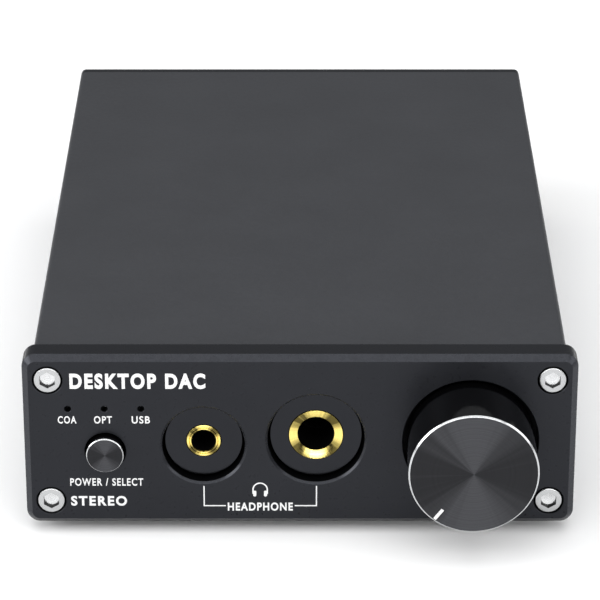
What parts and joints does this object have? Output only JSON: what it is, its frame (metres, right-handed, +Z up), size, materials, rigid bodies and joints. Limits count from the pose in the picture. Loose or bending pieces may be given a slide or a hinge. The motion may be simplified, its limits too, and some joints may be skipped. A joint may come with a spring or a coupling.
{
  "type": "desktop dac",
  "caption": "Slim desktop audio converter and headphone amplifier: extruded metal case, thick front plate with recessed headphone jacks, a select button and a turning volume knob.",
  "frame": {"origin": "middle of the footprint, on the table under the rubber feet", "axes": "+Z up; the front plate with the knob faces -Y and the rear sockets face +Y; +X is to the viewer's right when the front is seen"},
  "size_m": [0.1, 0.1718, 0.036],
  "materials": {
    "sleeve_anodised": "dark grey anodised, finely bead-blasted",
    "panel_anodised": "dark grey anodised, satin",
    "bezel_anodised": "dark grey satin",
    "knob_anodised": "dark anodised, spun face, bright cut rim",
    "steel": "bright",
    "black_steel": "black oxide",
    "nickel": "nickel plated",
    "gold": "gold plated, polished",
    "rubber": "matte",
    "black_plastic": "matte",
    "white_plastic": "satin",
    "red_plastic": "satin",
    "orange_plastic": "satin",
    "white_ink": "printed",
    "led_lens": "clear moulded",
    "circuit_board": "solder mask",
    "chip_epoxy": "moulded",
    "heat_sink": "black anodised",
    "capacitor_sleeve": "shrink sleeve"
  },
  "bodies": {
    "chassis": {"case_sleeve": "sleeve_anodised", "front_panel": "panel_anodised", "rear_panel": "panel_anodised", "front_screw_1": "steel", "front_screw_2": "steel", "front_screw_3": "steel", "front_screw_4": "steel", "rear_screw_1": "black_steel", "rear_screw_2": "black_steel", "rear_screw_3": "black_steel", "rear_screw_4": "black_steel", "rubber_foot_1": "rubber", "rubber_foot_2": "rubber", "rubber_foot_3": "rubber", "rubber_foot_4": "rubber", "main_board": "circuit_board", "indicator_board": "circuit_board", "board_link_header": "black_plastic", "volume_pot_body": "black_plastic", "volume_pot_bushing": "nickel", "volume_pot_washer": "nickel", "volume_pot_nut": "nickel", "jack_635_housing": "black_plastic", "jack_635_ferrule": "gold", "jack_635_bezel": "bezel_anodised", "jack_635_tip_spring": "nickel", "jack_35_housing": "black_plastic", "jack_35_ferrule": "gold", "jack_35_bezel": "bezel_anodised", "jack_35_tip_spring": "nickel", "switch_body": "black_plastic", "led_coaxial": "led_lens", "led_optical": "led_lens", "led_usb": "led_lens", "rca_out_housing": "black_plastic", "rca_left_shell": "gold", "rca_left_insulator": "white_plastic", "rca_right_shell": "gold", "rca_right_insulator": "red_plastic", "coaxial_in_housing": "black_plastic", "coaxial_in_shell": "gold", "coaxial_in_insulator": "orange_plastic", "optical_in_housing": "black_plastic", "usb_shell": "nickel", "usb_tongue": "white_plastic", "dc_jack_housing": "black_plastic", "dc_jack_pin": "nickel", "dac_chip": "chip_epoxy", "usb_receiver_chip": "chip_epoxy", "headphone_amp_chip": "chip_epoxy", "voltage_regulator": "heat_sink", "capacitor_1": "capacitor_sleeve", "capacitor_2": "capacitor_sleeve"},
    "volume_knob_assembly": {"volume_knob": "knob_anodised", "volume_shaft": "nickel", "knob_grub_screw": "black_steel", "knob_pointer": "white_ink"},
    "select_button_assembly": {"select_button": "knob_anodised", "switch_plunger": "white_plastic"},
    "optical_port_flap": {"optical_shutter": "black_plastic"}
  },
  "joints": [
    {"name": "volume_turn", "type": "hinge", "parent": "chassis", "child": "volume_knob_assembly", "pos_m": [0.0309, -0.08, 0.01885], "axis": [0, 1, 0], "range_deg": [0, 285]},
    {"name": "button_press", "type": "slide", "parent": "chassis", "child": "select_button_assembly", "axis": [0, 1, 0], "range_m": [0, 0.0006], "stiffness_N_per_m": 1500, "springref_m": -0.0005},
    {"name": "flap_swing", "type": "hinge", "parent": "chassis", "child": "optical_port_flap", "pos_m": [-0.0085, 0.0762, 0.02205], "axis": [-1, 0, 0], "range_deg": [0, 85], "stiffness_Nm_per_rad": 0.0001, "springref_deg": -20.05}
  ]
}
